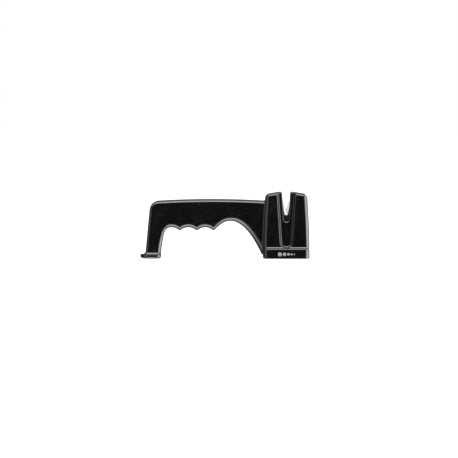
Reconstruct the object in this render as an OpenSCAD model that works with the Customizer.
// Hand-held pull-through edge tuning tool: a two-shell handle and head on a screwed base,
// with two crossed ceramic rods clamped in a split carrier inside the head.
// Millimetres. +X runs from the rear foot to the head, -Y is the front, +Z is up.
// The origin is on the resting surface, under the middle of the tool.

/* [Overall] */
// Length from the tip of the rear foot to the far side of the base
overall_l = 169.5; // [169:0.1:170]
// Height of the two horns above the resting surface
overall_h = 66.3; // [66:0.1:67.5]
// Thickness of the moulded walls
wall = 2.4; // [2:0.1:2.6]

/* [Handle] */
// Thickness of the handle, front to back
handle_t = 22; // [21:0.5:23]
// Height of the handle's top at its two ends
handle_top = 57.5; // [57:0.1:58.5]
// Rise of the handle's crowned top over its ends
crown_rise = 1.5; // [1:0.1:1.8]
// Radius of the rear top corner
corner_r = 8; // [7:0.5:9]
// Distance between neighbouring finger grooves
groove_pitch = 16.95; // [16.8:0.05:17]
// Radius of a finger groove
groove_r = 13.5; // [13.3:0.1:13.8]
// Height of the grooves' highest line
groove_top = 31; // [30.6:0.1:31.6]

/* [Head] */
// Width of the base, and of the head at its foot
base_w = 46.5; // [46:0.1:47]
// Depth of the base, front to back
base_d = 35; // [34.5:0.1:36]
// Height of the seam between the base and the head
seam_z = 10.1; // [9.8:0.1:10.3]
// Depth of the head at the seam
head_d = 31.6; // [31:0.1:32]
// Depth of the tapered trough in the head's two faces
trough_depth = 3; // [2.5:0.1:3.2]
// Width of the blade slot at the middle of its round bottom
slot_w = 5; // [4.6:0.1:5.2]

/* [Rods] */
// Diameter of a ceramic rod
rod_d = 5; // [4.6:0.1:5]
// Length of a ceramic rod
rod_l = 32; // [31:0.1:32]
// Angle between a rod and the vertical
rod_angle = 22; // [21:0.5:23]
// Height where the two rods cross
cross_z = 42.3; // [42:0.1:42.6]

/* [Hidden] */
$fn = 48;
eps = 0.01;
gap = 0.1;                       // clearance between separate mouldings
big = 200;

head_x = overall_l / 2 - base_w / 2;
draft = 0.0441;                  // lean of the head's sides, per millimetre of height
face_draft = 0.02;               // lean of the head's front and back
half_t = handle_t / 2;
rear_x = -overall_l / 2;
pad_t = 1.2;                     // thickness of the rubber pads
pad_proud = 0.3;                 // how far the pads stand below the mouldings

// Leg: the outer and inner edges lean forward as they rise
leg_z = 4;
leg_out = [rear_x + 4.7, 0.097];
leg_in = [rear_x + 19.85, 0.175];
leg_top_r = 4;
groove_x = [for (i = [0:2]) rear_x + 31.25 + i * groove_pitch];
groove_z = groove_top - groove_r;
arch_x = rear_x + 90.35;
arch_z = 37.5;
arch_rear_r = 13.6;             // vertex radius of the arch's parabola towards the grooves
arch_front_r = 14.6;             // and towards the head
cusp_z = groove_z + sqrt(pow(groove_r, 2) - pow(groove_pitch / 2, 2));

// Screws
screw_r = 1.4;
pilot_r = 1.5;
screw_head_r = 2.7;
screw_head_h = 1.8;
screw_l = 12;
boss_r = 3.3;
base_seat_z = 2.8;               // where the base screws' heads sit, above the resting surface
base_boss_z = 5;                 // top of the base's own bosses
seat_y = 4.5;                    // where the shell screws' heads sit, behind the joint plane
shell_hole_r = 1.6;
head_screw_z = 46;
handle_screws = [[rear_x + 17.2, 46], [rear_x + 55.2, 45], [rear_x + 105.2, 46]];
leg_screw_at = [rear_x + 14.3, 12.5];
head_screws = [[head_x - 16.3, head_screw_z], [head_x + 16.3, head_screw_z]];
base_screws = [for (y = [-1, 1]) for (x = [-1, 1]) [head_x + x * 16.4, y * 9.2]];
dowels = [[rear_x + 36.2, 45], [rear_x + 81.2, 49], [head_x - 15.4, 18], [head_x + 15.4, 18]];
dowel_r = 1.2;
dowel_l = 3;

// Carrier
carrier_w = 24.6;
carrier_t = 7.4;                 // thickness of one half, front or back
carrier_z = [27, 62.4];
clamp_x = 9.3;
clamp_z = 36;
clamp_r = 1.1;
clamp_l = 11;
clamp_head_r = 2.1;
clamp_head_h = 1.4;
rod_y = rod_d / 2 + 0.25;        // how far each rod's axis is from the joint plane
rod_below = 13.2;                // length of rod below the crossing, along the rod
socket_r = rod_d / 2 + 0.08;

foot_l = 21.2;
foot_tip_l = 10;                 // length of the foot's half-elliptical rear end
foot_w = 26;
foot_x = rear_x + foot_l;        // front edge of the foot
tongue_t = 5;                    // thickness of the foot's tongue, between the shells' bosses

// ---------- helpers ----------

function arc(c, r, from, to, steps) =
    [for (i = [0:steps]) let (a = from + (to - from) * i / steps) [c[0] + r * cos(a), c[1] + r * sin(a)]];

// Extrudes an X-Z outline from y1 to y2
module slab(y1, y2) {
    translate([0, y2, 0]) rotate([90, 0, 0]) linear_extrude(y2 - y1) children();
}

// A round bar along +Y from y1 to y2
module bar(p, r, y1, y2) {
    translate([p[0], y1, p[1]]) rotate([-90, 0, 0]) cylinder(r = r, h = y2 - y1);
}

module rounded_rect(w, d, r) {
    square([w - 2 * r, d], center = true);
    square([w, d - 2 * r], center = true);
    for (x = [-1, 1]) for (y = [-1, 1])
        translate([x * (w / 2 - r), y * (d / 2 - r)]) circle(r);
}

// A countersink-free self-tapping screw pointing along +Z, its head's top at z = 0
module screw(length, r, head_r, head_h) {
    slot_t = head_r * 0.26;
    difference() {
        translate([0, 0, -head_h]) cylinder(r = head_r, h = head_h);
        for (a = [0, 90]) rotate(a) cube([head_r * 1.25, slot_t, head_h], center = true);
    }
    translate([0, 0, -length]) cylinder(r = r, h = length - head_h + eps);
    translate([0, 0, -length - r]) cylinder(r1 = 0.3, r2 = r, h = r + eps, $fn = 48);
}

// ---------- outlines, in X and Z; w moves each edge into the material ----------

// A point of the arch, x from its middle, moved w along its normal
function arch_point(x, r, w) =
    let (slope = -x / r, n = sqrt(1 + slope * slope))
    [arch_x + x - w * slope / n, arch_z - x * x / (2 * r) + w / n];

// The fillet between the leg and the first groove touches both
lean_in = atan(leg_in[1]);
fillet_from = [leg_in[0] + leg_top_r / cos(lean_in) - groove_x[0], -groove_z];
fillet_b = fillet_from[0] * sin(lean_in) + fillet_from[1] * cos(lean_in);
fillet_t = -fillet_b + sqrt(pow(fillet_b, 2) - pow(norm(fillet_from), 2) + pow(groove_r - leg_top_r, 2));
fillet_c = [groove_x[0], groove_z] + fillet_from + fillet_t * [sin(lean_in), cos(lean_in)];

// The space for the hand, with three finger grooves and an arch
module hand_gap(w) {
    rear_end = sqrt((arch_z - cusp_z) * 2 * arch_rear_r);
    front_end = sqrt((arch_z + 1) * 2 * arch_front_r);
    rear = [for (i = [8:-1:1]) arch_point(-rear_end * i / 8, arch_rear_r, w)];
    front = [for (i = [0:16]) arch_point(front_end * i / 16, arch_front_r, w)];
    leg = [for (z = [-1, 5, 8, 12]) [leg_in[0] + leg_in[1] * (12 + (z - 12) * 0.4) - w, z]];
    touch = fillet_c + (leg_top_r + w) * [-cos(lean_in), sin(lean_in)];
    polygon(concat(
        leg, [touch, fillet_c, [groove_x[0], cusp_z + w], [groove_x[2] + groove_pitch / 2, cusp_z + w]],
        rear, front));
    translate(fillet_c) circle(leg_top_r + w);
    intersection() {
        union() for (x = groove_x) translate([x, groove_z]) circle(groove_r + w, $fn = 96);
        polygon([[groove_x[0], groove_z], fillet_c, fillet_c + 4 * (fillet_c - [groove_x[0], groove_z]),
                 [arch_x, 90], [groove_x[2] + groove_pitch / 2, groove_z]]);
    }
}

// The handle and its leg without the hand gap
module handle_blank(w) {
    top_r = (pow(52, 2) + pow(crown_rise, 2)) / (2 * crown_rise);
    top_c = [rear_x + 71.3, handle_top + crown_rise - top_r];
    lean = atan(leg_out[1]);
    corner_z = handle_top - corner_r;
    corner_c = [leg_out[0] + leg_out[1] * corner_z + corner_r / cos(lean), corner_z];
    base_x = head_x - base_w / 2 - gap;
    polygon(concat(
        [[leg_out[0] + leg_out[1] * leg_z + w, leg_z]],
        arc(corner_c, corner_r - w, 180 - lean, 92, 10),
        arc(top_c, top_r - w, 92.2, 87.4, 12),
        [[head_x, handle_top - w], [head_x, seam_z], [base_x, seam_z], [base_x, leg_z]]));
}

module handle_outline(w) {
    difference() {
        handle_blank(w);
        hand_gap(w);
    }
}

// The head's front view: leaning sides, and a roof that rises towards the slot
module head_outline(w) {
    half = base_w / 2 - w;
    roof_fall = 5.1;             // from the horns' tops to the centre of the outer corner
    roof_in = 6.5;
    corner = 3 - w / 2;
    side_top = overall_h - roof_fall - w;
    x_top = half - draft * (side_top - seam_z);
    right = concat(
        [[half, seam_z]],
        arc([x_top - corner, side_top], corner, 2.5, 80.4, 6),
        [[roof_in, overall_h - w]]);
    mirrored = [for (i = [len(right) - 1:-1:0]) [-right[i][0], right[i][1]]];
    translate([head_x, 0]) polygon(concat(right, mirrored));
}

// The blade slot through the head's walls: a taper with a round bottom
module slot_outline() {
    centre_z = 39.5;
    taper = 0.065;
    rise = 40;
    half = slot_w / 2;
    translate([head_x, 0]) {
        translate([0, centre_z]) circle(half);
        polygon([[-half, centre_z], [half, centre_z],
                 [half + taper * rise, centre_z + rise], [-half - taper * rise, centre_z + rise]]);
    }
}

// The shallow trough that leads the blade to the slot, cut into the face at y = 0 towards +Y.
// Its flanks lean outwards, and its lower end is round; w moves all its walls into the material
module trough(depth, w) {
    low = [6.4 + w, 18];
    lean = 4.1;
    flank = 35;
    reach = 80;
    end_r = (low[0] + depth * tan(flank)) / cos(lean);
    translate([head_x, 0, low[1]]) {
        intersection() {
            translate([-20, -20, 0]) cube([40, 20 + depth, reach]);
            intersection_for (s = [-1, 1])
                translate([s * low[0], 0, 0]) rotate([0, s * lean, 0]) rotate([0, 0, s * flank])
                    translate([s > 0 ? -40 : 0, -40, -10]) cube([40, 80, reach]);
        }
        translate([0, -depth, 0]) rotate([-90, 0, 0])
            cylinder(r1 = end_r, r2 = low[0] - depth * tan(flank), h = 2 * depth, $fn = 64);
    }
}

// ---------- shells ----------

// Half depth of the head at height z
function head_half(z) = head_d / 2 - face_draft * (z - seam_z);

// The head's side view: leaning front and back, with a lip over the base's rim
module head_side(w) {
    lip = 0.9;
    right = [[head_half(seam_z) + lip - w, 0],
             [head_half(seam_z) + lip - w, seam_z + 0.6],
             [head_half(seam_z) + 0.3 * lip - w, seam_z + 1.4],
             [head_half(seam_z + 2.6) - w, seam_z + 2.6],
             [head_half(big / 2) - w, big / 2]];
    left = [for (i = [len(right) - 1:-1:0]) [-right[i][0], right[i][1]]];
    translate([head_x, 0, 0]) rotate([90, 0, 90]) linear_extrude(big, center = true)
        polygon(concat(right, left));
}

module head_block(w) {
    intersection() {
        slab(-30, 30) head_outline(w);
        head_side(w);
    }
}

module trough_cut(w) {
    depth = trough_depth + w;
    for (s = [0, 1]) mirror([0, s, 0])
        translate([0, -head_half(40), 0]) trough(depth, w * 0.8);
}

module shell_outside() {
    slab(-half_t, half_t) handle_outline(0);
    difference() {
        head_block(0);
        trough_cut(0);
    }
}

module shell_inside() {
    slab(-half_t + wall, half_t - wall) handle_outline(wall);
    difference() {
        translate([0, 0, -eps]) head_block(wall);
        trough_cut(wall);
    }
}

// Ribs that hold the carrier: a shelf under it, and two uprights against its face
module carrier_ribs(side) {
    shelf_t = 2.4;
    reach = 14;
    y = side < 0 ? [-reach, -1] : [1, reach];
    slab(y[0], y[1]) translate([head_x, carrier_z[0] - gap - shelf_t / 2])
        square([carrier_w + 12, shelf_t], center = true);
    rib = side < 0 ? [-reach, -carrier_t - gap] : [carrier_t + gap, reach];
    for (x = [-1, 1])
        slab(rib[0], rib[1]) translate([head_x + x * 11, 44]) square([1.8, 32], center = true);
}

module shell_core(side) {
    away = side < 0 ? [-gap / 2, 40] : [-40, gap / 2];
    difference() {
        shell_outside();
        shell_inside();
        slab(-30, 30) slot_outline();
        translate([-big, away[0], -big]) cube([2 * big, away[1] - away[0], 2 * big]);
    }
    intersection() {
        carrier_ribs(side);
        shell_envelope();
    }
}

// Room inside the head's walls, with a bite into them for what is moulded on
module shell_envelope() {
    difference() {
        head_block(wall / 2);
        trough_cut(wall / 2);
    }
}

// A boss for a base screw, joined to the shell's face by a web
module base_boss(p, side) {
    z = [base_boss_z + gap, 22];
    web_l = head_half(seam_z) - wall - abs(p[1]) + 0.3;
    translate([p[0], p[1], z[0]]) cylinder(r = boss_r, h = z[1] - z[0]);
    translate([p[0] - 0.9, side < 0 ? p[1] - web_l : p[1], seam_z + 1]) cube([1.8, web_l, z[1] - seam_z - 1]);
}

module base_pilot(p) {
    translate([p[0], p[1], 0]) cylinder(r = pilot_r, h = screw_l + 3.2);
}

module front_shell() color("#121214") {
    side_screws = concat(handle_screws, head_screws, [leg_screw_at]);
    difference() {
        union() {
            shell_core(-1);
            for (p = handle_screws) bar(p, boss_r, -half_t + wall / 2, -gap);
            for (p = head_screws) bar(p, boss_r, -head_half(head_screw_z) + wall / 2, -gap);
            bar(leg_screw_at, boss_r, -half_t + wall / 2, -tongue_t / 2 - gap);
            for (i = [0, 1]) bar(dowels[i], boss_r, -half_t + wall / 2, -gap);
            for (i = [2, 3]) bar(dowels[i], boss_r, -head_half(18) + wall / 2, -gap);
            for (p = dowels) bar(p, dowel_r, -1, dowel_l);
            for (i = [0, 1]) base_boss(base_screws[i], -1);
        }
        for (p = side_screws) bar(p, pilot_r, seat_y - screw_l - 0.4, 1);
        for (i = [0, 1]) base_pilot(base_screws[i]);
    }
}

module back_shell() color("#121214") {
    side_screws = concat(handle_screws, head_screws, [leg_screw_at]);
    difference() {
        union() {
            shell_core(1);
            for (p = handle_screws) bar(p, boss_r + 0.7, gap, half_t - wall / 2);
            for (p = head_screws) bar(p, boss_r + 0.6, gap, head_half(head_screw_z) - wall / 2);
            bar(leg_screw_at, boss_r + 0.7, tongue_t / 2 + gap, half_t - wall / 2);
            for (i = [0, 1]) bar(dowels[i], boss_r, gap, half_t - wall / 2);
            for (i = [2, 3]) bar(dowels[i], boss_r, gap, head_half(18) - wall / 2);
            for (i = [2, 3]) base_boss(base_screws[i], 1);
        }
        for (p = side_screws) {
            bar(p, shell_hole_r, -1, 40);
            bar(p, screw_head_r + 0.3, seat_y, 40);
        }
        for (p = dowels) bar(p, dowel_r + 0.08, -1, dowel_l + 0.5);
        for (i = [2, 3]) base_pilot(base_screws[i]);
    }
}

// ---------- base and feet ----------

module base_plate() color("#141416") {
    floor_z = pad_t + 2;
    difference() {
        union() {
            difference() {
                translate([head_x, 0, pad_proud]) linear_extrude(seam_z - gap / 2 - pad_proud)
                    rounded_rect(base_w, base_d, 3);
                translate([head_x, 0, floor_z]) linear_extrude(seam_z)
                    rounded_rect(base_w - 2 * wall, base_d - 2 * wall - 1, 1.5);
            }
            for (p = base_screws)
                translate([p[0], p[1], floor_z - 1]) cylinder(r = boss_r + 0.7, h = base_boss_z - floor_z + 1);
        }
        translate([head_x, 0, 0]) linear_extrude(pad_t) rounded_rect(base_w - 5, base_d - 5, 3);
        for (p = base_screws) {
            translate([p[0], p[1], -1]) cylinder(r = shell_hole_r, h = 10);
            translate([p[0], p[1], -1]) cylinder(r = screw_head_r + 0.3, h = 1 + base_seat_z);
        }
    }
}

module base_pad() color("#0c0c0d") {
    difference() {
        translate([head_x, 0, 0]) linear_extrude(pad_t - 0.02) rounded_rect(base_w - 5.6, base_d - 5.6, 2.7);
        for (p = base_screws) translate([p[0], p[1], -1]) cylinder(r = screw_head_r + 0.5, h = 4);
    }
}

// The foot's plan: straight in front, with a half ellipse at the tip
module foot_plan(w) {
    front_r = 4;
    ellipse = [foot_tip_l - w, foot_w / 2 - w];
    straight_x = rear_x + foot_tip_l;
    rear = [for (i = [0:20]) let (a = 90 + i * 9) [straight_x + ellipse[0] * cos(a), ellipse[1] * sin(a)]];
    polygon(concat(rear, arc([foot_x - front_r, -foot_w / 2 + front_r], front_r - w, 270, 360, 6),
                   arc([foot_x - front_r, foot_w / 2 - front_r], front_r - w, 0, 90, 6)));
}

module rear_foot() color("#141416") {
    tongue_w = 7.6;
    difference() {
        union() {
            translate([0, 0, pad_proud]) linear_extrude(leg_z - gap / 2 - pad_proud) foot_plan(0);
            slab(-tongue_t / 2, tongue_t / 2) {
                translate([leg_screw_at[0] - tongue_w / 2, leg_z - 1]) square([tongue_w, leg_screw_at[1] - leg_z + 1]);
                translate(leg_screw_at) circle(tongue_w / 2);
            }
        }
        translate([0, 0, -1]) linear_extrude(1 + pad_t) foot_plan(2.6);
        bar(leg_screw_at, shell_hole_r, -10, 10);
    }
}

module foot_pad() color("#0c0c0d") {
    linear_extrude(pad_t - 0.02) foot_plan(2.9);
}

// ---------- carrier and rods ----------

// side -1 leans the rod to the left as it rises, and 1 to the right
module rod_place(side) {
    translate([head_x, side * rod_y, cross_z]) rotate([0, side * rod_angle, 0])
        translate([0, 0, -rod_below]) children();
}

module ceramic_rod(side) color("#e9e9e4") {
    chamfer = 0.4;
    rod_place(side) {
        translate([0, 0, chamfer]) cylinder(d = rod_d, h = rod_l - 2 * chamfer);
        cylinder(r1 = rod_d / 2 - chamfer, r2 = rod_d / 2, h = chamfer, $fn = 48);
        translate([0, 0, rod_l - chamfer]) cylinder(r1 = rod_d / 2, r2 = rod_d / 2 - chamfer, h = chamfer, $fn = 48);
    }
}

// The carrier's own slot is tighter than the shells', so its jaws frame the rods
module carrier_outline() {
    floor_z = 43.4;
    difference() {
        translate([head_x - carrier_w / 2, carrier_z[0]]) square([carrier_w, carrier_z[1] - carrier_z[0]]);
        translate([head_x, 0]) polygon([[-1.6, floor_z], [1.6, floor_z], [2.8, 49.9], [4.4, 63],
                                        [-4.4, 63], [-2.8, 49.9]]);
    }
}

module carrier_half(side) {
    y = side < 0 ? [-carrier_t, -gap / 2] : [gap / 2, carrier_t];
    difference() {
        slab(y[0], y[1]) carrier_outline();
        rod_place(side) {
            translate([0, 0, -gap]) cylinder(r = socket_r, h = rod_l + 2 * gap);
            translate([-socket_r, side < 0 ? 0 : -rod_y - 1, -gap]) cube([2 * socket_r, rod_y + 1, rod_l + 2 * gap]);
        }
        for (x = [-1, 1]) carrier_hole([head_x + x * clamp_x, clamp_z], side);
    }
}

module carrier_hole(p, side) {
    bar(p, side < 0 ? clamp_r + 0.05 : clamp_r + 0.2, -5.6, 10);
    if (side > 0) bar(p, clamp_head_r + 0.2, carrier_t - clamp_head_h - 0.2, 20);
}

module carrier_front() color("#17171a") carrier_half(-1);
module carrier_back() color("#17171a") carrier_half(1);

// ---------- fasteners ----------

module shell_screw(p) color("#8c8d90")
    translate([p[0], seat_y + screw_head_h, p[1]]) rotate([-90, 0, 0])
        screw(screw_l, screw_r, screw_head_r, screw_head_h);

module base_screw(p) color("#8c8d90")
    translate([p[0], p[1], base_seat_z - screw_head_h]) rotate([180, 0, 0])
        screw(screw_l, screw_r, screw_head_r, screw_head_h);

module carrier_screw(x) color("#8c8d90")
    translate([head_x + x * clamp_x, carrier_t - 0.2, clamp_z]) rotate([-90, 0, 0])
        screw(clamp_l, clamp_r, clamp_head_r, clamp_head_h);

// ---------- nodes ----------

front_shell();
back_shell();
base_plate();
base_pad();
rear_foot();
foot_pad();
carrier_front();
carrier_back();
ceramic_rod(-1);  // left_ceramic_rod
ceramic_rod(1);  // right_ceramic_rod
for (i = [1:len(handle_screws)])
    shell_screw(handle_screws[i - 1]);
for (i = [1:len(head_screws)])
    shell_screw(head_screws[i - 1]);
for (i = [1:len(base_screws)])
    base_screw(base_screws[i - 1]);
carrier_screw(-1);  // carrier_screw_1
carrier_screw(1);  // carrier_screw_2
shell_screw(leg_screw_at);  // leg_screw
